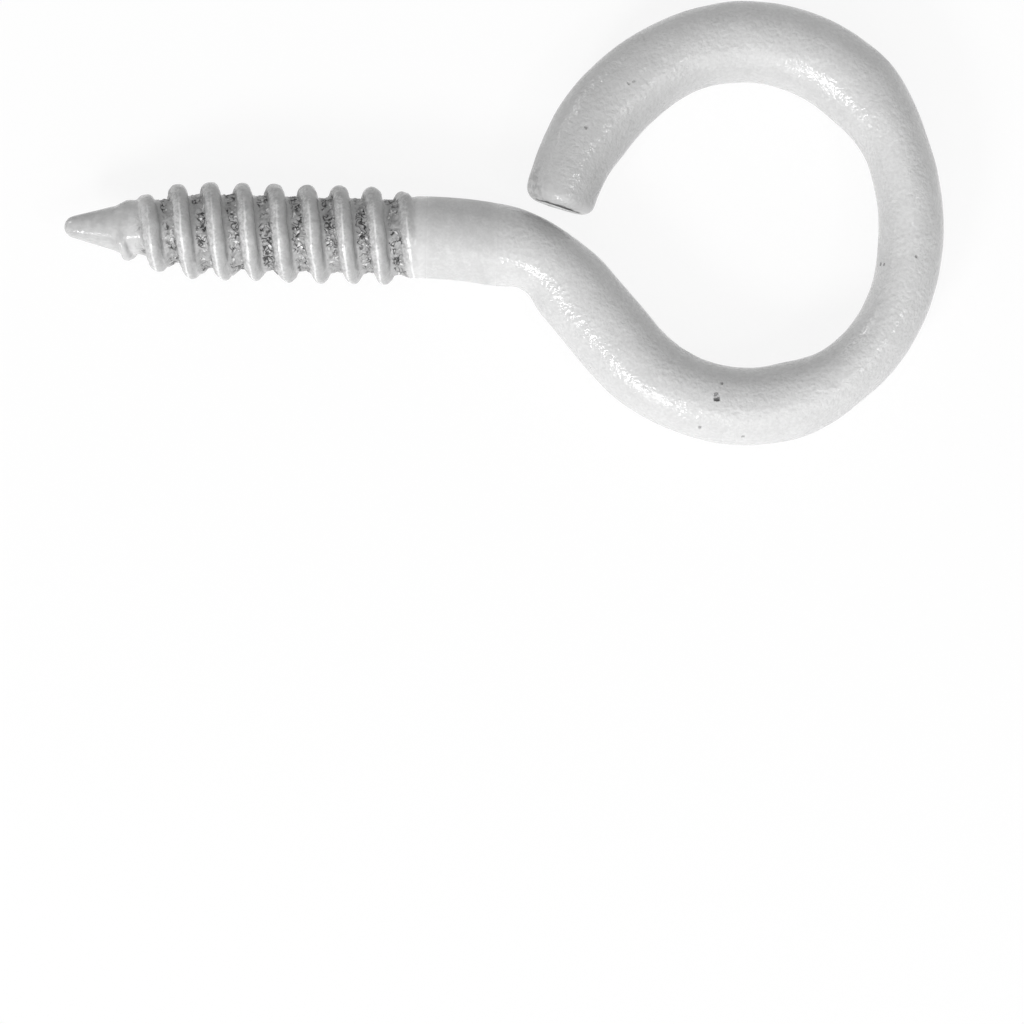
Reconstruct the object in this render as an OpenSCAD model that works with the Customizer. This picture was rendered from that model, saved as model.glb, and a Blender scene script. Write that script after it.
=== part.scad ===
// Screw eye: one length of round wire with a rolled wood-screw thread and a point at one end,
// bent at its neck and wound into an open eye at the other. Millimetres.
// Origin: on the shank's axis where the thread ends. +X runs from the point to the eye,
// +Z stands square to the eye's plane, and +Y is the side on which the eye is open.

/* [Wire] */
// Diameter of the painted wire
wire_d = 4.1; // [3.9:0.05:4.3]
// Share of each flattening that comes out again across the wire, square to the eye's plane
bulge_share = 0.25; // [0:0.05:0.4]

/* [Thread] */
// Threaded length, from the point's nose to the plain shank
thread_l = 17.6; // [12:0.1:24]
// Diameter over the thread's crests
thread_d = 4.9; // [4.6:0.1:5.2]
// Diameter at the bottom of the groove
core_d = 3.66; // [3.4:0.02:3.8]
// Distance from one turn of the thread to the next
pitch = 1.61; // [1.5:0.01:1.8]
// Width of the ridge across its shoulders
ridge_w = 0.82; // [0.7:0.02:1]
// Diameter over the crest where it starts, just behind the cone's root
crest_start_d = 2.6; // [2.5:0.1:3]
// Length over which the crest grows from there to its full diameter
crest_lead_l = 5; // [4:0.1:6]
// Turns over which the ridge rises out of the cone
run_in = 0.3; // [0.2:0.05:0.6]
// Turns over which the ridge fades into the plain shank
run_out = 1.3; // [1:0.1:2]

/* [Point] */
// Length of the plain cone at the point
point_l = 2.5; // [2.3:0.1:3.2]
// Diameter at the root of the cone
point_d = 2.22; // [2:0.02:2.5]
// Radius of the blunt nose
nose_r = 0.56; // [0.4:0.02:0.6]
// Diameter of the core just behind the cone's small shoulder
lead_core_d = 2.84; // [2.7:0.02:3]
// Length over which the core grows from there to its full size
lead_core_l = 3.6; // [3:0.1:5]

/* [Neck] */
// Straight plain shank behind the thread
plain_l = 0.95; // [0.8:0.05:2]
// Turn of the gentle bend that leads into the neck, in degrees
lean_turn = 8; // [5:0.5:9]
// Centre line radius of that gentle bend
lean_r = 16.2; // [14:0.2:18]
// Straight length from the gentle bend to the neck
lean_l = 1.55; // [1.2:0.05:2]
// Turn of the neck's sharp bend, in degrees
neck_turn = 40.2; // [38:0.2:43]
// Centre line radius of the neck's sharp bend
neck_r = 4.4; // [4:0.1:5]
// Width lost where the bending tool squeezed the neck
neck_squeeze = 0.45; // [0.2:0.05:0.6]

/* [Eye] */
// Centre line radius of the eye's two close bends
eye_r = 8.1; // [7.7:0.05:8.4]
// Centre line radius of the flatter side away from the shank
flat_r = 11.26; // [10:0.1:13]
// Turn of that flatter side, in degrees
flat_turn = 37.7; // [30:0.1:42]
// Angle by which the flatter side leans back over the shank, in degrees
flat_lean = 6; // [3:0.5:8]
// Turn of the close bend that leads to the open end, in degrees
close_turn = 99.3; // [97:0.1:101]
// Centre line radius of the last stretch, which has sprung open
open_r = 11.42; // [10.5:0.1:12.5]
// Distance from the close bend's centre up to the shank's axis line
eye_drop = -0.12; // [-0.4:0.02:0.4]
// Gap between the cut end and the neck
mouth_gap = 0.7; // [0.4:0.05:1.4]
// Width lost along the flattened far side
far_squeeze = 0.84; // [0.4:0.02:0.9]
// Angle by which the end is cut off square, in degrees
cut_skew = 4.5; // [0:0.5:8]
// Radius of the painted edge round the cut end
cut_round = 0.7; // [0.4:0.05:0.8]

/* [Hidden] */

paint = [0.82, 0.82, 0.81];
around = 28;          // facets round the wire, and in each turn of the thread
station_step = 0.8;   // spacing of the wire's cross sections
fine_step = 0.4;      // their spacing in the neck
nose_steps = 4;
round_steps = 3;

wire_r = wire_d / 2;
core_r = core_d / 2;
lead_core_r = lead_core_d / 2;
thread_r = thread_d / 2;
crest_start_r = crest_start_d / 2;

// ---- shank: radius of the body under the ridge, against X ----
tip_x = -thread_l;
cone_x = tip_x + point_l;
nose_turn = 72;       // how far the nose curves before the cone takes over, in degrees
shoulder_l = 0.5;     // length of the small step behind the cone
shank_rise = 0.85;    // length over which the core grows into the plain shank
slow_share = 0.6;     // first share of the core's growth in length, which is the slower one
slow_growth = 0.3;    // and the share of the diameter that it gains there
body_profile = [
    [tip_x + nose_r * (1 - cos(nose_turn)), nose_r * sin(nose_turn)],
    [cone_x, point_d / 2],
    [cone_x + shoulder_l, lead_core_r],
    [cone_x + shoulder_l + lead_core_l * slow_share, lead_core_r + (core_r - lead_core_r) * slow_growth],
    [cone_x + shoulder_l + lead_core_l, core_r],
    [-shank_rise, core_r],
    [-shank_rise / 2, core_r + (wire_r - core_r) * slow_share],
    [0, wire_r]
];
function body_r(x) = lookup(x, body_profile);
function smooth(t) = let (c = min(1, max(0, t))) c * c * (3 - 2 * c);

// ---- thread: one ridge, as pairs of [place across it in ridge widths, share of its height] ----
ridge_profile = [
    [-0.62, 0], [-0.50, 0.25], [-0.44, 0.75], [-0.25, 0.97], [0, 1],
    [0.25, 0.97], [0.44, 0.75], [0.50, 0.25], [0.62, 0]
];
across = len(ridge_profile);
foot = -ridge_profile[0][0] * ridge_w;   // from the ridge's middle to its foot
ridge_start_x = cone_x + 0.2;            // where the ridge sets out on the cone's shoulder
ridge_end_x = 0.3;                       // where the ridge has died out on the plain shank
ridge_end_turn = 0.62;                   // and how far round that is, in turns from +Y to +Z

// the strip's rows stand a facet apart along the helix, from the cone to the plain shank
first_row = floor(around * (ridge_end_turn + (cone_x - pitch + foot - ridge_end_x) / pitch));
function row_x(n) = ridge_end_x + pitch * ((first_row + n) / around - ridge_end_turn);
rows = ceil(around * (foot - row_x(0)) / pitch);
function crest_r(x) =
    let (left = 1 - min(1, max(0, (x - cone_x) / crest_lead_l)))
    thread_r - (thread_r - crest_start_r) * left * left;
function ridge_height(x) = max(0, crest_r(x) - body_r(x))
    * smooth((x - ridge_start_x) / pitch / run_in)
    * smooth((ridge_end_x - x) / pitch / run_out);
function on_shank(x, r, angle) = [x, r * cos(angle), r * sin(angle)];
function thread_point(n, k) =
    let (x = row_x(n) + ridge_profile[k][0] * ridge_w)
    on_shank(x, body_r(x) + ridge_height(row_x(n)) * ridge_profile[k][1], 360 * (first_row + n) / around);

// ---- wire: its bends in order, as [radius, turn to the left in degrees, length] ----
function bend(r, turn) = [r, turn, r * abs(turn) * PI / 180];
function straight(l) = [0, 0, l];
function move(p, piece, s) =
    piece[1] == 0
        ? [p[0] + s * cos(p[2]), p[1] + s * sin(p[2]), p[2]]
        : let (side = sign(piece[1]), r = piece[0] * side, h = p[2] + side * s / piece[0] * 180 / PI)
          [p[0] + r * (sin(h) - sin(p[2])), p[1] - r * (cos(h) - cos(p[2])), h];
// [x, y, heading] at the distance s along the wire from the origin
function pose(s, pieces, i = 0, p = [0, 0, 0]) =
    s <= pieces[i][2] || i == len(pieces) - 1
        ? move(p, pieces[i], s)
        : pose(s - pieces[i][2], pieces, i + 1, move(p, pieces[i], pieces[i][2]));
function length_of(pieces, i = 0) = i == len(pieces) ? 0 : pieces[i][2] + length_of(pieces, i + 1);

neck = [straight(plain_l), bend(lean_r, -lean_turn), straight(lean_l), bend(neck_r, -neck_turn)];
neck_end = length_of(neck);
neck_start = neck_end - neck[3][2];
neck_out = pose(neck_end, neck);

// the throat is as long as it takes to bring the eye's first bend into line with the shank
dive = lean_turn + neck_turn;
throat_l = (neck_out[1] + eye_r * cos(dive) + eye_drop) / sin(dive);
near_side = concat(neck, [
    straight(throat_l),
    bend(eye_r, dive + 90 + flat_lean - flat_turn / 2)
]);
far_side = concat(near_side, [bend(flat_r, flat_turn), bend(eye_r, close_turn)]);
far_start = length_of(near_side);
open_start = length_of(far_side);
open_pose = pose(open_start, far_side);
open_centre = [open_pose[0] - open_r * sin(open_pose[2]), open_pose[1] + open_r * cos(open_pose[2])];

// the last stretch runs down until it leaves the mouth's gap over the neck
likely_heading = 257.5;
likely_end_x = open_centre[0] + open_r * sin(likely_heading);
neck_top = [for (s = [0:fine_step:neck_end])
    let (p = pose(s, neck)) [p[0] - wire_r * sin(p[2]), p[1] + wire_r * cos(p[2])]];
end_y = lookup(likely_end_x, neck_top) + mouth_gap;
end_heading = 360 - acos((open_centre[1] - end_y) / open_r);
wire_run = concat(far_side, [bend(open_r, end_heading - open_pose[2])]);
wire_l = length_of(wire_run);

// ---- where the wire was squeezed in the eye's plane: [centre, half length, ramp, width lost] ----
squeezes = [
    [(neck_start + neck_end) / 2 + 0.2, 0.3, 1.9, neck_squeeze],
    [far_start - 10, 3, 5, 0.22],
    [far_start + 1, 5.6, 4.2, far_squeeze],
    [far_start - 1.5, 0.6, 3, 0.15],
    [open_start - 1.4, 0.3, 3, 0.15],
    [wire_l, 1, 4.4, 0.5]
];
function reach(s, q) = smooth((q[1] + q[2] - abs(s - q[0])) / q[2]);
function lost_width(s, i = 0) =
    i == len(squeezes) ? 0 : squeezes[i][3] * reach(s, squeezes[i]) + lost_width(s, i + 1);

// one cross section: trim draws it in for a rounded edge, and skew tips it with the cut
function wire_ring(s, trim = 0, skew = 0) =
    let (p = pose(s, wire_run), lost = lost_width(s),
         half_w = wire_r - lost / 2 - trim,
         half_t = wire_r + lost / 2 * bulge_share - trim)
    [for (j = [0:around - 1])
        let (angle = 360 * j / around, side = half_w * cos(angle), slip = side * tan(skew))
        [p[0] - side * sin(p[2]) + slip * cos(p[2]),
         p[1] + side * cos(p[2]) + slip * sin(p[2]),
         half_t * sin(angle)]];
function shank_ring(x, r) = [for (j = [0:around - 1]) on_shank(x, r, 360 * j / around)];

// ---- plain rings in order: nose and cone in front of the strip, then wire and cut end behind it ----
join_gap = 0.15;      // room between the strip's ends and the plain rings beside them
lead_x = cone_x - pitch - join_gap;
wire_start = pitch + join_gap;
edge_start = wire_l - cut_round;
skew_l = 3;           // length over which the sections tip to meet the cut
function spread(from, to, step) =
    let (count = ceil((to - from) / step)) [for (i = [0:count - 1]) from + (to - from) * i / count];
stations = concat(
    spread(wire_start, neck_start, station_step),
    spread(neck_start, neck_end, fine_step),
    spread(neck_end, edge_start, station_step)
);
front_rings = concat(
    [for (i = [1:nose_steps])
        let (a = nose_turn * i / nose_steps)
        shank_ring(tip_x + nose_r * (1 - cos(a)), nose_r * sin(a))],
    [shank_ring(lead_x, body_r(lead_x))]
);
back_rings = concat(
    [for (s = stations) wire_ring(s, 0, cut_skew * smooth((s - edge_start + skew_l) / skew_l))],
    [for (i = [0:round_steps])
        let (a = 90 * i / round_steps)
        wire_ring(edge_start + cut_round * sin(a), cut_round * (1 - cos(a)), cut_skew)]
);
cut_middle = pose(wire_l, wire_run);

// ---- the skin's points: nose, front rings, strip, back rings, middle of the cut ----
function flat(lists) = [for (l = lists) each l];
strip_points = concat(
    [for (n = [0:rows]) for (k = [0:across - 1]) thread_point(n, k)],
    [for (n = [rows + 1:rows + around]) thread_point(n, 0)]
);
points = concat([[tip_x, 0, 0]], flat(front_rings), strip_points, flat(back_rings),
                [[cut_middle[0], cut_middle[1], 0]]);

// ---- numbers of those points; columns are counted from the strip's first row ----
front_at = 1;
strip_at = front_at + len(front_rings) * around;
back_at = strip_at + len(strip_points);
cut_at = len(points) - 1;
function wrap(j) = ((j % around) + around) % around;
function front(i, j) = front_at + i * around + wrap(j + first_row);
function back(i, j) = back_at + i * around + wrap(j + first_row);
function strip(n, k) =
    k == across ? strip(n + around, 0)
    : n <= rows ? strip_at + n * across + k
    : strip_at + (rows + 1) * across + n - rows - 1;
last_front = len(front_rings) - 1;
last_back = len(back_rings) - 1;
columns = [0:around - 1];

// ---- faces, clockwise from outside ----
function patch(a, b, c, d) = [[a, d, c], [a, c, b]];
faces = concat(
    // the nose and the cone
    [for (j = columns) [0, front(0, j), front(0, j + 1)]],
    [for (i = [0:last_front - 1]) for (j = columns)
        each patch(front(i, j), front(i, j + 1), front(i + 1, j + 1), front(i + 1, j))],
    // from the cone to the strip's first turn, closed by a fan along its first row
    [for (j = [0:around - 2])
        each patch(front(last_front, j), front(last_front, j + 1), strip(j + 1, 0), strip(j, 0))],
    [[strip(around - 1, 0), front(last_front, around), front(last_front, around - 1)],
     [strip(around - 1, 0), strip(0, 0), front(last_front, around)]],
    [for (k = [0:across - 1]) [strip(around - 1, 0), strip(0, k + 1), strip(0, k)]],
    // the ridge and its groove, turn after turn
    [for (n = [0:rows - 1]) for (k = [0:across - 1])
        each patch(strip(n, k), strip(n + 1, k), strip(n + 1, k + 1), strip(n, k + 1))],
    // from the strip's last turn to the wire, opened by a fan along its last row
    [for (k = [0:across - 1]) [strip(rows + 1, 0), strip(rows, k), strip(rows, k + 1)]],
    [[strip(rows + 1, 0), strip(rows, across), back(0, rows)],
     [strip(rows + 1, 0), back(0, rows), back(0, rows + 1)]],
    [for (j = [rows + 1:rows + around - 1])
        each patch(strip(j, 0), strip(j + 1, 0), back(0, j + 1), back(0, j))],
    // the wire and its cut end
    [for (i = [0:last_back - 1]) for (j = columns)
        each patch(back(i, j), back(i, j + 1), back(i + 1, j + 1), back(i + 1, j))],
    [for (j = columns) [cut_at, back(last_back, j + 1), back(last_back, j)]]
);

module screw_eye() {
    color(paint)
        polyhedron(points = points, faces = faces, convexity = 12);
}

screw_eye();
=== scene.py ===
import math

import bpy
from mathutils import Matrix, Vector


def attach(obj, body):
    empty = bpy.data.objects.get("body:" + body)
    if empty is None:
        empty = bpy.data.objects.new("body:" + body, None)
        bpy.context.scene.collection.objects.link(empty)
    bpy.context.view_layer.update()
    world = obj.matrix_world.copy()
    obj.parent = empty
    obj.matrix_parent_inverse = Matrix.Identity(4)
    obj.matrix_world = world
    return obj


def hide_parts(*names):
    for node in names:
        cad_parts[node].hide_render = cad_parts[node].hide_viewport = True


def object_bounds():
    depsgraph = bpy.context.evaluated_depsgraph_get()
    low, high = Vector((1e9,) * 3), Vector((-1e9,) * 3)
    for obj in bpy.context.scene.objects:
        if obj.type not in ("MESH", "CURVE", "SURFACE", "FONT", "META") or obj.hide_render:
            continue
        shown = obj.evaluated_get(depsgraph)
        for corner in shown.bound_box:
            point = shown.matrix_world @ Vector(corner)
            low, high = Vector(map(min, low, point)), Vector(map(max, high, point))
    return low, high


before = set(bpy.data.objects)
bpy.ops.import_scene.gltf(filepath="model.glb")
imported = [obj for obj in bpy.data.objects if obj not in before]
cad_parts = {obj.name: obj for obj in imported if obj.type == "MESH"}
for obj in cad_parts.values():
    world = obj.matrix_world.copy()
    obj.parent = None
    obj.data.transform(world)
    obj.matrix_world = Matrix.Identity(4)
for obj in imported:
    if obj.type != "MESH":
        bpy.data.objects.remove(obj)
cad_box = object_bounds()

# ---------------------------------------------------------------------------------------------
# Threaded shank: the front of the steel wire, drawn to a blunt point. The thread is one ridge
# rolled up out of it in a right-hand spiral, rising on the point and dying out on the plain
# shank. Ridge and core are painted together into one skin. Modelled in millimetres.
wire_r = 2.05
core_r = 1.83
lead_core_r = 1.38
cone_r = 1.11
nose_r = 0.56
nose_ring_degrees = (10, 20, 35, 50, 72)
tip_x = -17.6
cone_x = -15.1
shoulder_x = cone_x + 0.5
shoulder_l = 0.8
shoulder_lift = 0.07
lead_l = 3.6
lead_slim_share = 0.6
lead_slim_growth = 0.3
core_x = shoulder_x + lead_l
rise_x = -0.85
rise_halfway_growth = 0.6
shank_end_x = 1.1
shank_cut_x = 0.8
shank_sides = 64
skin_voxel = 0.06
skin_triangles = 115000

# rings of the core: place along the axis, radius, and how far off the axis the ring's middle is
body_profile = [
    (tip_x + nose_r * (1 - math.cos(math.radians(a))), nose_r * math.sin(math.radians(a)), 0)
    for a in nose_ring_degrees
] + [
    (cone_x, cone_r, 0),
    (shoulder_x, lead_core_r - shoulder_lift, shoulder_lift),
    (shoulder_x + shoulder_l, lead_core_r, shoulder_lift),
    (shoulder_x + lead_slim_share * lead_l, lead_core_r + lead_slim_growth * (core_r - lead_core_r), 0),
    (core_x, core_r, 0),
    (rise_x, core_r, 0),
    (rise_x / 2, core_r + rise_halfway_growth * (wire_r - core_r), 0),
    (0, wire_r, 0),
    (shank_end_x, wire_r, 0),
]

pitch = 1.61
crest_r = 2.46
crest_start_r = 1.3
crest_lead_l = 5
first_dip = 0.16
first_dip_x = -13.6
first_dip_half_l = 0.7
first_dip_flat_half_l = 0.2
ridge_sides = 24
ridge_half_w = 0.44
ridge_narrow = 0.5
ridge_start_x = cone_x + 0.2
ridge_end_x = 0.9
ridge_end_turn = 0.993
ridge_sink = 0.08
ridge_root = 0.35
run_in_l = 0.22 * pitch
run_out_l = 1.6 * pitch
turn_steps = 48


def soft_step(value, low, high):
    """A soft step from 0 at low to 1 at high."""
    t = min(1, max(0, (value - low) / (high - low)))
    return t * t * (3 - 2 * t)


def body_radius(x):
    for (x0, r0, _), (x1, r1, _) in zip(body_profile, body_profile[1:]):
        if x <= x1:
            return r0 + (r1 - r0) * (x - x0) / (x1 - x0)
    return wire_r


def ridge_top(x):
    """Distance of the ridge's crest from the axis, which starts and ends just under the skin."""
    left = 1 - min(1, max(0, (x - cone_x) / crest_lead_l))
    full = crest_r - (crest_r - crest_start_r) * left * left
    full -= first_dip * soft_step(abs(x - first_dip_x), first_dip_half_l, first_dip_flat_half_l)
    under = body_radius(x) - ridge_sink
    fade = soft_step(x, ridge_start_x, ridge_start_x + run_in_l)
    fade *= soft_step(x, ridge_end_x, ridge_end_x - run_out_l)
    return under + max(0, full - under) * fade


def ridge_width(x):
    """Width of the ridge as a share of its full width, which it reaches after one turn."""
    return ridge_narrow + (1 - ridge_narrow) * soft_step(x, ridge_start_x, ridge_start_x + pitch)


def turn_selection(angle, centre, axis="Z"):
    # with no window the operator turns the other way
    bpy.ops.transform.rotate(value=-angle, orient_axis=axis, center_override=centre)


def select_only(*pieces):
    bpy.ops.object.select_all(action="DESELECT")
    for piece in pieces:
        piece.select_set(True)
    bpy.context.view_layer.objects.active = pieces[0]


def apply_modifier(piece, name, kind, **settings):
    select_only(piece)
    modifier = piece.modifiers.new(name, kind)
    for setting, value in settings.items():
        setattr(modifier, setting, value)
    bpy.ops.object.modifier_apply(modifier=name)


def clouds(name, size):
    texture = bpy.data.textures.new(name, "CLOUDS")
    texture.noise_scale = size
    texture.noise_depth = 2
    return texture


def weigh(piece, name, weight_at):
    """A vertex group whose weights follow the place of each vertex."""
    group = piece.vertex_groups.new(name=name)
    for vertex in piece.data.vertices:
        group.add([vertex.index], weight_at(vertex.co), "REPLACE")


# the core, from the nose backwards
bpy.ops.object.select_all(action="DESELECT")
x, r, lift = body_profile[0]
bpy.ops.mesh.primitive_circle_add(
    vertices=shank_sides, radius=r, fill_type="NGON", location=(x, lift, 0), rotation=(0, math.pi / 2, 0))
shank = bpy.context.object
shank.name = "screw_eye_skin"
bpy.ops.object.transform_apply(location=True, rotation=True, scale=True)
bpy.ops.object.mode_set(mode="EDIT")
bpy.ops.mesh.select_all(action="SELECT")
for to_x, to_r, to_lift in body_profile[1:]:
    bpy.ops.mesh.extrude_region_move(TRANSFORM_OT_translate={"value": (to_x - x, to_lift - lift, 0)})
    bpy.ops.transform.resize(value=(1, to_r / r, to_r / r), center_override=(to_x, to_lift, 0))
    x, r, lift = to_x, to_r, to_lift
bpy.ops.mesh.select_all(action="SELECT")
bpy.ops.mesh.normals_make_consistent(inside=False)
bpy.ops.object.mode_set(mode="OBJECT")

# the ridge: a round-topped section with a deep root, which is carried round the axis
x = ridge_start_x
section_y = crest_r - ridge_half_w
bpy.ops.object.select_all(action="DESELECT")
bpy.ops.mesh.primitive_circle_add(
    vertices=ridge_sides, radius=ridge_half_w, fill_type="NGON", location=(x, section_y, 0))
ridge = bpy.context.object
bpy.ops.object.transform_apply(location=True, rotation=True, scale=True)
bpy.ops.object.mode_set(mode="EDIT")
bpy.ops.mesh.select_all(action="DESELECT")
bpy.ops.object.mode_set(mode="OBJECT")
for vertex in ridge.data.vertices:
    vertex.select = vertex.co.y < section_y - 0.01
bpy.ops.object.mode_set(mode="EDIT")
bpy.ops.transform.translate(value=(0, -ridge_root, 0))
bpy.ops.mesh.select_all(action="SELECT")
shrink = ridge_top(x) / crest_r
bpy.ops.transform.resize(value=(ridge_width(x), shrink, shrink), center_override=(x, 0, 0))
thread_turns = (ridge_end_x - ridge_start_x) / pitch
turn_selection(2 * math.pi * (ridge_end_turn - thread_turns), (0, 0, 0), "X")
steps = round(thread_turns * turn_steps)
for i in range(steps):
    to_x = ridge_start_x + (ridge_end_x - ridge_start_x) * (i + 1) / steps
    widen = ridge_width(to_x) / ridge_width(x)
    grow = ridge_top(to_x) / ridge_top(x)
    bpy.ops.mesh.extrude_region_move(TRANSFORM_OT_translate={"value": (to_x - x, 0, 0)})
    turn_selection(2 * math.pi * thread_turns / steps, (to_x, 0, 0), "X")
    bpy.ops.transform.resize(value=(widen, grow, grow), center_override=(to_x, 0, 0))
    x = to_x
bpy.ops.mesh.select_all(action="SELECT")
bpy.ops.mesh.normals_make_consistent(inside=False)
bpy.ops.object.mode_set(mode="OBJECT")
select_only(shank, ridge)
bpy.ops.object.join()
apply_modifier(shank, "one_skin", "REMESH", mode="VOXEL", voxel_size=skin_voxel)
shank.vertex_groups.clear()

# the paint on it hangs in webs below the thread and has a rough crust in the grooves
crust_x = cone_x + 1.6
plain_x = 0.2
web_h = 0.48
web_phase = 0.17
right_web_phase = 0.52
left_web_phase = 0.45
right_web_thin_x = (-9, -8)
left_web_x = -6.2


def helix_phase(co):
    """Place across the thread in pitches: 0 at the ridge's middle, from -0.5 to 0.5."""
    turns = (co.x - ridge_end_x) / pitch + ridge_end_turn - math.atan2(co.z, co.y) / (2 * math.pi)
    return turns - round(turns)


def above_core(co):
    return math.hypot(co.y, co.z) - body_radius(co.x)


def on_thread(co):
    return soft_step(co.x, cone_x - 0.3, cone_x + 0.3) * soft_step(co.x, plain_x, plain_x - 0.5)


def in_rough_groove(co):
    phase = helix_phase(co) % 1
    groove = soft_step(phase, 0.38, 0.43) * soft_step(phase, 0.76, 0.71)
    return on_thread(co) * soft_step(co.x, crust_x, crust_x + 0.5) * groove


def on_underside(co):
    along = soft_step(co.x, crust_x, crust_x + 1) * soft_step(co.x, plain_x, plain_x - 0.5)
    return along * soft_step(-co.y / math.hypot(co.y, co.z), 0.3, 0.8)


def on_low_flanks(co):
    flank = soft_step(above_core(co), 0.1, 0.3) * soft_step(abs(helix_phase(co)), 0.08, 0.18)
    return on_underside(co) * flank


def in_web(co):
    """How far paint fills the corner beside the ridge, up to a slope from its crest."""
    phase = helix_phase(co)
    if phase > 0:
        share, end = 1 - 0.6 * soft_step(co.x, *right_web_thin_x), right_web_phase
    else:
        share, end = 0.2 + 0.7 * soft_step(abs(co.x - left_web_x), 1.8, 0.6), left_web_phase
    fill = share * web_h * (1 - (abs(phase) - web_phase) / (end - web_phase))
    fill = min(1, max(0, fill - above_core(co)))
    return on_underside(co) * fill * soft_step(abs(phase), web_phase - 0.02, web_phase + 0.04)


weigh(shank, "thread", on_thread)
weigh(shank, "underside", on_underside)
weigh(shank, "low_flanks", on_low_flanks)
weigh(shank, "web", in_web)
weigh(shank, "rough", in_rough_groove)
apply_modifier(shank, "narrowed", "DISPLACE", strength=-0.05, mid_level=0, vertex_group="low_flanks")
apply_modifier(shank, "webs", "DISPLACE", strength=-1, mid_level=0, direction="Y", vertex_group="web")
apply_modifier(shank, "flow", "SMOOTH", factor=0.5, iterations=3)
apply_modifier(shank, "pooled", "SMOOTH", factor=0.5, iterations=5, vertex_group="underside")
apply_modifier(shank, "runs", "DISPLACE", texture=clouds("paint_runs", 0.9), texture_coords="LOCAL",
               strength=0.16, mid_level=0.5, vertex_group="thread")
apply_modifier(shank, "crust", "DISPLACE", texture=clouds("paint_crust", 0.2), texture_coords="LOCAL",
               strength=0.2, mid_level=0.6, vertex_group="rough")
apply_modifier(shank, "thin", "DECIMATE",
               ratio=skin_triangles / sum(len(face.vertices) - 2 for face in shank.data.polygons))
bpy.ops.object.mode_set(mode="EDIT")
bpy.ops.mesh.select_all(action="SELECT")
bpy.ops.mesh.bisect(plane_co=(shank_cut_x, 0, 0), plane_no=(1, 0, 0), clear_outer=True)
bpy.ops.object.mode_set(mode="OBJECT")

# ---------------------------------------------------------------------------------------------
# Neck and eye: the rest of the same wire, plain and round. It is bent down at the neck, wound
# round into the eye, flattened a little on the eye's far side and cut off nearly square, and
# it is squeezed where the bending tools held it. Modelled in millimetres.
wire_sides = 64
wire_step = 0.45
wire_start = 0.9
plain_l = 0.95
lean_turn = math.radians(8)
lean_r = 16.2
lean_l = 1.55
neck_turn = math.radians(40.2)
neck_r = 4.4
eye_r = 8.1
flat_r = 11.26
flat_turn = math.radians(37.7)
flat_lean = math.radians(6)
close_turn = math.radians(99.3)
open_r = 11.42
eye_drop = -0.12
mouth_gap = 0.7
likely_heading = math.radians(257.5)
cut_round = 0.7
cut_ring_degrees = (25, 50, 75, 90)
cut_skew = math.radians(4.5)
cut_skew_l = 3
sideways_bulge = 0.25
seam_x = 0.85
seam_half_l = 0.35
seam_half_w = 2.3


def move(x, y, heading, radius, turn, share=1.0, length=0.0):
    """The wire's middle and heading after a share of a bend, or after a straight length."""
    if radius == 0:
        return x + length * share * math.cos(heading), y + length * share * math.sin(heading), heading
    after = heading + turn * share
    side = math.copysign(radius, turn)
    return (x + side * (math.sin(after) - math.sin(heading)),
            y - side * (math.cos(after) - math.cos(heading)), after)


def pose(s):
    """The wire's middle and heading at the distance s from the thread's end."""
    place = (0.0, 0.0, 0.0)
    for radius, turn, length in bends:
        share = min(1, s / length)
        place = move(*place, radius, turn, share, length)
        s -= length
        if s <= 0:
            break
    return place


def straight(length):
    return 0, 0, length


def bend(radius, turn):
    return radius, turn, radius * abs(turn)


# the shank leans, then the neck dives until the eye's circle can start from its own height
neck = bend(neck_r, -neck_turn)
bends = [straight(plain_l), bend(lean_r, -lean_turn), straight(lean_l), neck]
neck_end = sum(length for _, _, length in bends)
neck_middle = neck_end - neck[2] / 2
neck_out = pose(neck_end)
dive = lean_turn + neck_turn
bends.append(straight((neck_out[1] + eye_r * math.cos(dive) + eye_drop) / math.sin(dive)))
bends.append(bend(eye_r, dive + math.pi / 2 + flat_lean - flat_turn / 2))
far_start = sum(length for _, _, length in bends)
bends.append(bend(flat_r, flat_turn))
bends.append(bend(eye_r, close_turn))
open_start = sum(length for _, _, length in bends)
open_x, open_y, open_heading = pose(open_start)
centre_x, centre_y = open_x - open_r * math.sin(open_heading), open_y + open_r * math.cos(open_heading)

# the last stretch runs down until it leaves the mouth's gap over the neck
end_x = centre_x + open_r * math.sin(likely_heading)
over_neck = [pose(neck_end * i / 40) for i in range(41)]
neck_top = min(over_neck, key=lambda p: abs(p[0] - wire_r * math.sin(p[2]) - end_x))
end_y = neck_top[1] + wire_r * math.cos(neck_top[2]) + mouth_gap
end_heading = 2 * math.pi - math.acos((centre_y - end_y) / open_r)
bends.append(bend(open_r, end_heading - open_heading))
wire_l = open_start + bends[-1][2]

# squeezed places: middle, half length, length over which it fades, and width lost
squeezes = [
    (neck_middle + 0.2, 0.3, 1.9, 0.45),
    (far_start - 10, 3, 5, 0.22),
    (far_start + 1, 5.6, 4.2, 0.84),
    (far_start - 1.5, 0.6, 3, 0.15),
    (open_start - 1.4, 0.3, 3, 0.15),
    (wire_l, 1, 4.4, 0.5),
]

edge_start = wire_l - cut_round
count = math.ceil((edge_start - wire_start) / wire_step)
stations = [wire_start + (edge_start - wire_start) * (i + 1) / count for i in range(count)]
stations += [edge_start + cut_round * math.sin(math.radians(a)) for a in cut_ring_degrees]

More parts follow.
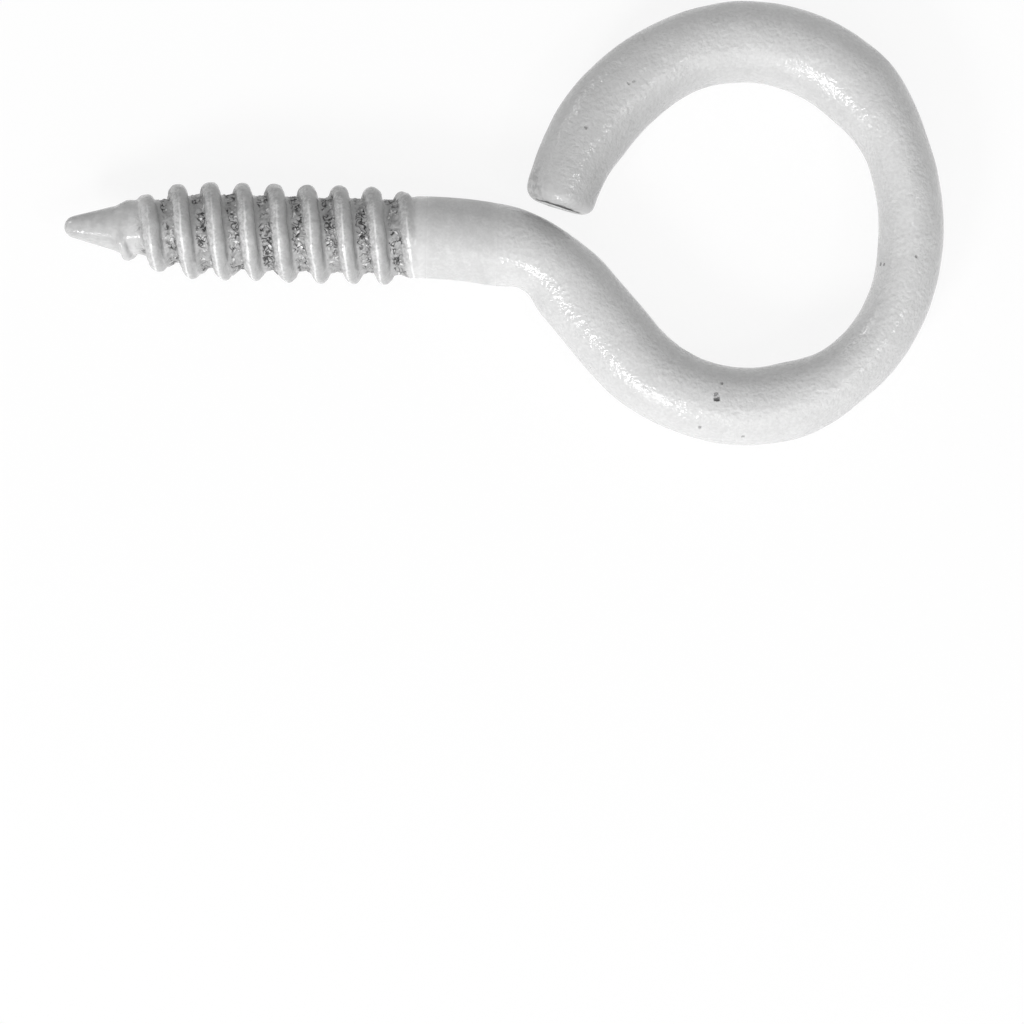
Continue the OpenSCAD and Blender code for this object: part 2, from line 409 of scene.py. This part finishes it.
bpy.ops.object.select_all(action="DESELECT")
bpy.ops.mesh.primitive_circle_add(
    vertices=wire_sides, radius=wire_r, fill_type="NOTHING",
    location=(wire_start, 0, 0), rotation=(0, math.pi / 2, 0))
wire = bpy.context.object
bpy.ops.object.transform_apply(location=True, rotation=True, scale=True)
bpy.ops.object.mode_set(mode="EDIT")
bpy.ops.mesh.select_all(action="SELECT")
here, heading, half_w, half_t = Vector((wire_start, 0, 0)), 0.0, wire_r, wire_r
for s in stations:
    to_x, to_y, to_heading = pose(s)
    to = Vector((to_x, to_y, 0))
    past_edge = max(0, (s - edge_start) / cut_round)
    trim = cut_round * (1 - math.sqrt(max(0, 1 - past_edge ** 2)))
    lost = sum(w * soft_step(abs(s - at), half + fade, half) for at, half, fade, w in squeezes)
    to_w = wire_r - lost / 2 - trim
    to_t = wire_r + lost / 2 * sideways_bulge - trim
    to_heading -= cut_skew * soft_step(s, edge_start - cut_skew_l, edge_start)
    bpy.ops.mesh.extrude_region_move(TRANSFORM_OT_translate={"value": to - here})
    turn_selection(-heading, to)
    bpy.ops.transform.resize(value=(1, to_w / half_w, to_t / half_t), center_override=to)
    turn_selection(to_heading, to)
    here, heading, half_w, half_t = to, to_heading, to_w, to_t
cut_middle, cut_heading = here, heading
bpy.ops.mesh.edge_face_add()
bpy.ops.mesh.select_all(action="SELECT")
bpy.ops.mesh.normals_make_consistent(inside=False)
bpy.ops.object.mode_set(mode="OBJECT")
apply_modifier(wire, "finer", "SUBSURF", levels=1, render_levels=1)
apply_modifier(wire, "runs", "DISPLACE", texture=clouds("paint_waves", 1.6), texture_coords="LOCAL",
               strength=0.07, mid_level=0.5)

# both lengths become one wire, which is then scaled from millimetres to metres
select_only(shank, wire)
bpy.ops.object.join()
screw_eye = shank
bpy.ops.object.mode_set(mode="EDIT")
bpy.ops.mesh.select_mode(type="EDGE")
bpy.ops.mesh.select_all(action="DESELECT")
bpy.ops.mesh.select_non_manifold(
    extend=False, use_wire=False, use_boundary=True, use_multi_face=False,
    use_non_contiguous=False, use_verts=False)
bpy.ops.mesh.bridge_edge_loops()
bpy.ops.mesh.select_mode(type="VERT")
bpy.ops.object.mode_set(mode="OBJECT")
for vertex in screw_eye.data.vertices:
    vertex.select = abs(vertex.co.x - seam_x) < seam_half_l and abs(vertex.co.y) < seam_half_w
bpy.ops.object.mode_set(mode="EDIT")
bpy.ops.mesh.vertices_smooth(factor=0.5, repeat=6)
bpy.ops.mesh.select_all(action="SELECT")
bpy.ops.mesh.normals_make_consistent(inside=False)
bpy.ops.transform.resize(value=(0.001, 0.001, 0.001), center_override=(0, 0, 0))
bpy.ops.object.mode_set(mode="OBJECT")
screw_eye.vertex_groups.clear()
bpy.ops.object.shade_smooth()

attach(screw_eye, "root")
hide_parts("screw_eye")

# ---------------------------------------------------------------------------------------------
# Enamel: one dipped coat of light grey-white paint over the whole wire. It is glossy and lightly
# beaten on the eye, duller on the shank, and dull, cracked and beaded in the thread's grooves.
# Tones are shares of white, and bump heights are in millimetres.
clean_tone = 0.65
cloudy_tone = 0.695
bright_tone = 0.71
speck_tone = 0.59
shank_tone = 0.54
shank_speck_tone = 0.5
point_tone = 0.46
dirty_tone = 0.44
scuff_tone = 0.3
thread_tone = 0.40
thread_speck_tone = 0.34
flank_shade_tone = 0.45
crest_highlight_tone = 0.84
groove_tone = 0.385
crust_tone = 0.26
bead_tone = 0.72
crack_tone = 0.03
bare_and_shade_tone = 0.06

satin_roughness = 0.46
glossy_roughness = 0.14
thread_polish = 0.08
crack_roughness = 0.25
rim_roughness = 0.9

grain_h = 0.01
thread_grain_h = 0.014
peel_h = 0.01
beaten_h = 0.045
crack_h = 0.06
bead_h = 0.05
pit_h = 0.1
rim_h = 0.06
scuff_h = 0.03


class Value:
    """One value in a material's node tree: sums on it add Math nodes."""

    def __init__(self, tree, socket=None):
        self.tree, self.socket = tree, socket

    def node(self, kind, settings=None, values=None, out=0):
        made = self.tree.nodes.new("ShaderNode" + kind)
        for name, setting in (settings or {}).items():
            setattr(made, name, setting)
        for name, value in (values or {}).items():
            if isinstance(value, Value):
                self.tree.links.new(value.socket, made.inputs[name])
            else:
                made.inputs[name].default_value = value
        return Value(self.tree, made.outputs[out])

    def math(self, operation, *values):
        return self.node("Math", {"operation": operation}, dict(enumerate(values)))

    def __add__(self, other):
        return self.math("ADD", self, other)

    def __sub__(self, other):
        return self.math("SUBTRACT", self, other)

    def __rsub__(self, other):
        return self.math("SUBTRACT", other, self)

    def __mul__(self, other):
        return self.math("MULTIPLY", self, other)

    def __truediv__(self, other):
        return self.math("DIVIDE", self, other)

    def __abs__(self):
        return self.math("ABSOLUTE", self)

    __radd__ = __add__
    __rmul__ = __mul__

    def most(self, other):
        return self.math("MAXIMUM", self, other)

    def step(self, low, high):
        """A soft step from 0 at low to 1 at high."""
        return self.node("MapRange", {"interpolation_type": "SMOOTHSTEP"},
                         {"Value": self, "From Min": low, "From Max": high})

    def noise(self, size, detail=2.0, distortion=0.0):
        return self.node("TexNoise", None, {"Vector": self, "Scale": 1 / size, "Detail": detail,
                                            "Distortion": distortion})


def grey(level):
    return level, level, level, 1


paint = bpy.data.materials.new("light_grey_enamel")
paint.use_nodes = True
tree = paint.node_tree
bsdf = tree.nodes["Principled BSDF"]
start = Value(tree)
place = start.node("VectorMath", {"operation": "SCALE"}, {
    0: start.node("TexCoord", None, None, "Object"), "Scale": 1000})
parts = start.node("SeparateXYZ", None, {0: place}).socket.node
along, across, up = (Value(tree, out) for out in parts.outputs)


def distance_to(point):
    return start.node("VectorMath", {"operation": "DISTANCE"}, {0: place, 1: point}, 1)


fine = place.noise(0.13, 3)
mottle = place.noise(0.5, 3, 0.4)
blotch = place.noise(1.6, 3)
peel = place.noise(0.22, 2)

# place on the thread in pitches: 0 on the ridge's crest, growing towards the eye
turn = up.math("ARCTAN2", up, across) / (2 * math.pi)
waver = (place.noise(0.7) - 0.5) * 0.1
phase = start.math("FRACT", (along - ridge_end_x) / pitch + ridge_end_turn - turn + waver)
ragged = phase + (place.noise(0.3, 3) - 0.5) * 0.3
past_crest = start.math("FRACT", phase + 0.1)

behind_cone = along.step(cone_x + 0.9, cone_x + 2.2)
thread = behind_cone * along.step(0.1, -0.6)
# painted shade: the ridge's right flank, turned away from the side lamp, gets a darker tone
right_flank_shade = past_crest.step(0.08, 0.17) * past_crest.step(0.9, 0.7) * thread
groove = ragged.step(0.2, 0.32) * ragged.step(0.77, 0.67) * thread
rough = ragged.step(0.36, 0.44) * ragged.step(0.78, 0.70) * thread
# painted highlight: a light line along the ridge's crest, partly rubbed paint, which fades out towards
# the thread's +Y side, away from the lamps
crest = phase.step(0.905, 0.95) * phase.step(1.0, 0.965) * behind_cone
crest = crest * along.step(0.6, 0.1) * across.step(2.2, 0.2)
squiggle = place.noise(0.36, 1.5, 0.8)
crack = abs(squiggle - 0.5).step(0.05, 0.02) * place.noise(0.7, 1).step(0.42, 0.56) * rough
bead = place.noise(0.26, 1).step(0.6, 0.66) * rough
shank_part = along.step(4.6, 3.4) * along.step(0.2, 1.0)
point = along.step(cone_x + 1.6, cone_x + 0.2)

# the paint is dirtier towards the cut end and scuffed at its corner, and a dark line of painted shade
# runs along the upper edge of the cut; depth is measured out of the cut
scuffed_corner = (5.75, 2.75, 0.9)
cut_axis = Vector((math.cos(cut_heading), math.sin(cut_heading), 0))
from_cut = start.node("VectorMath", {"operation": "SUBTRACT"}, {0: place, 1: cut_middle})
depth = start.node("VectorMath", {"operation": "DOT_PRODUCT"}, {0: from_cut, 1: cut_axis}, 1)
to_cut = distance_to(cut_middle)
on_open_side = depth.step(0.45, 0.2)
near_cut = to_cut.step(3, 2.6) * on_open_side
dirty = to_cut.step(15, 3) * on_open_side
scuff = distance_to(scuffed_corner).step(1.5, 0.5) * on_open_side
# painted shade: a dark line along the upper edge of the cut, which is also made rough and sunk a little
shaded_rim = (depth + (place.noise(0.4) - 0.5) * 0.1).step(-0.08, -0.02) * near_cut
shaded_rim = shaded_rim * up.step(0.3, 1.0) * to_cut.step(1.0, 1.25)

# a few pits and a scratch in the eye's paint: place seen from above, radius and depth of tone
pits = [
    (15.15, -7.45, 0.14, 0.55),
    (15.2, -7.7, 0.17, 0.95),
    (15.42, -6.9, 0.1, 0.6),
    (14.42, -9.1, 0.1, 0.5),
    (16.6, -9.5, 0.1, 0.4),
    (23.2, -0.68, 0.12, 0.8),
    (23.35, -0.7, 0.1, 0.7),
    (24.9, -0.34, 0.09, 0.5),
    (8.3, 5.6, 0.1, 0.45),
    (10.35, 7.86, 0.08, 0.3),
    (10.6, 7.94, 0.08, 0.3),
]
over_wire_z = 9
pit_edge = (place.noise(0.12, 1) - 0.5) * 0.2
holes = []
for pit_x, pit_y, radius, strength in pits:
    above = Vector((pit_x, pit_y, over_wire_z))
    _, on_skin, _, _ = screw_eye.ray_cast(above * 0.001, Vector((0, 0, -1)))
    near = distance_to(on_skin * 1000) + pit_edge
    holes.append(near.step(radius, radius * 0.4) * strength)
pitted = holes[0]
for hole in holes[1:]:
    pitted = pitted.most(hole)


def cover(under, tone, share):
    return start.node("Mix", {"data_type": "RGBA"}, {0: share, 6: under, 7: grey(tone)}, 2)


colour = cover(grey(clean_tone), cloudy_tone, blotch.step(0.3, 0.7))
colour = cover(colour, shank_tone, shank_part * 0.55)
colour = cover(colour, bright_tone, mottle.step(0.35, 0.65) * 0.6)
colour = cover(colour, speck_tone, place.noise(0.17, 2).step(0.35, 0.65) * 0.5)
colour = cover(colour, dirty_tone, dirty * 0.65)
colour = cover(colour, point_tone, point * (0.4 + 0.5 * mottle.step(0.3, 0.7)))
# painted shade: the thread's paint gets a darker tone on its +Y side, away from the lamps, added to
# random grime
grime_and_painted_shade = 0.1 + 0.5 * fine.step(0.40, 0.62) + 0.35 * across.step(-0.5, 2.2)
colour = cover(colour, thread_tone, grime_and_painted_shade * thread)
colour = cover(colour, scuff_tone, scuff * place.noise(0.3, 3).step(0.45, 0.6) * 0.6)
colour = cover(colour, thread_speck_tone, place.noise(0.2, 3, 0.5).step(0.48, 0.62) * 0.48 * thread)
colour = cover(colour, shank_speck_tone, fine.step(0.4, 0.62) * shank_part * 0.3)
# painted shade on the ridges' right flanks
colour = cover(colour, flank_shade_tone, right_flank_shade * 0.75)
colour = cover(colour, groove_tone, groove * (0.6 + 0.3 * fine.step(0.4, 0.6)))
colour = cover(colour, crust_tone, rough * mottle.step(0.4, 0.6) * 0.5)
# the painted highlight along the ridges' crests
colour = cover(colour, crest_highlight_tone, crest * (0.25 + 0.6 * mottle.step(0.35, 0.55)))
colour = cover(colour, bead_tone, bead)
colour = cover(colour, crack_tone, crack)
# the dark pits, and the painted shade line along the cut's upper edge
colour = cover(colour, bare_and_shade_tone, pitted.most(shaded_rim))
tree.links.new(colour.socket, bsdf.inputs["Base Color"])

gloss = place.noise(2.2, 1).step(0.25, 0.42) * (1 - shank_part)
gloss = gloss.most(along.step(cone_x + 1.2, cone_x + 0.4))
roughness = satin_roughness - (satin_roughness - glossy_roughness) * gloss
roughness = roughness - thread_polish * thread * (1 - gloss) + crack_roughness * crack
roughness = roughness.most(rim_roughness * shaded_rim)
tree.links.new(roughness.socket, bsdf.inputs["Roughness"])

beaten = (0.6 + 0.4 * place.noise(1.5, 2).step(0.40, 0.56)) * (1 - shank_part) * along.step(0, 2)
height = (grain_h + thread_grain_h * thread) * fine + (peel_h + beaten_h * beaten) * peel
height = height - crack_h * crack + bead_h * bead - pit_h * pitted - rim_h * shaded_rim
height = height + scuff_h * scuff * fine
bump = start.node("Bump", None, {"Strength": 1.0, "Distance": 0.001, "Height": height})
tree.links.new(bump.socket, bsdf.inputs["Normal"])
screw_eye.data.materials.clear()
screw_eye.data.materials.append(paint)

# ---------------------------------------------------------------------------------------------
# The setting: a plain white table, soft light from the shank's lower side with small lamps that
# give the paint its sparkle, and a camera that looks straight down.
table_glow = 0.88
sky_light = 0.36
lamp_distance = 0.5
frame_width = 0.0512
middle = Vector((0.0052, -0.0136, 0))
roll = math.radians(1.7)

bpy.ops.object.select_all(action="DESELECT")
bpy.ops.mesh.primitive_plane_add(size=1.2, location=(0, 0, cad_box[0][2]))
table = bpy.context.object
table.name = "table"


def seen_directly(value):
    """1 where the camera sees the background itself or in a reflection, and 0 where it gives light."""
    rays = ("Is Camera Ray", "Is Glossy Ray", "Is Transmission Ray")
    return sum(value.node("LightPath", None, None, ray) for ray in rays)


white = bpy.data.materials.new("white_table")
white.use_nodes = True
board = white.node_tree.nodes["Principled BSDF"]
board.inputs["Base Color"].default_value = grey(0.97)
board.inputs["Roughness"].default_value = 0.8
shaded = Value(white.node_tree, board.outputs[0])
glow = shaded.node("Emission", None, {"Color": grey(1), "Strength": 1})
seen = seen_directly(shaded) * table_glow
blend = shaded.node("MixShader", None, {0: seen, 1: shaded, 2: glow})
white.node_tree.links.new(blend.socket, white.node_tree.nodes["Material Output"].inputs["Surface"])
table.data.materials.append(white)

world = bpy.data.worlds.new("studio")
bpy.context.scene.world = world
world.use_nodes = True
sky = world.node_tree.nodes["Background"]
sky.inputs["Color"].default_value = grey(1)
strength = sky_light + (1 - sky_light) * seen_directly(Value(world.node_tree))
world.node_tree.links.new(strength.socket, sky.inputs["Strength"])


def lamp(name, direction, size, power):
    light = bpy.data.lights.new(name, "AREA")
    light.shape = "DISK"
    light.size = size
    light.energy = power
    obj = bpy.data.objects.new(name, light)
    bpy.context.collection.objects.link(obj)
    obj.location = middle + Vector(direction).normalized() * lamp_distance
    obj.rotation_euler = (middle - obj.location).to_track_quat("-Z", "Y").to_euler()


lamp("window", (0.15, -1, 1.0), 0.5, 1.0)
lamp("side_window", (-0.429, -0.661, 0.616), 0.14, 1.15)
lamp("low_left", (-0.762, 0.617, 0.17), 0.07, 0.15)
lamp("overhead", (-0.12, 0.1, 0.98), 0.05, 0.05)
lamp("high_right", (0.5, -0.28, 0.82), 0.07, 0.2)

camera_data = bpy.data.cameras.new("camera")
camera = bpy.data.objects.new("camera", camera_data)
bpy.context.collection.objects.link(camera)
camera_data.sensor_width = 36
camera_data.lens = 200
camera_data.clip_start = 0.01
camera.location = (middle.x, middle.y, frame_width * camera_data.lens / camera_data.sensor_width)
camera.rotation_euler = (0, 0, roll)
bpy.context.scene.camera = camera
bpy.context.scene.view_settings.view_transform = "Standard"
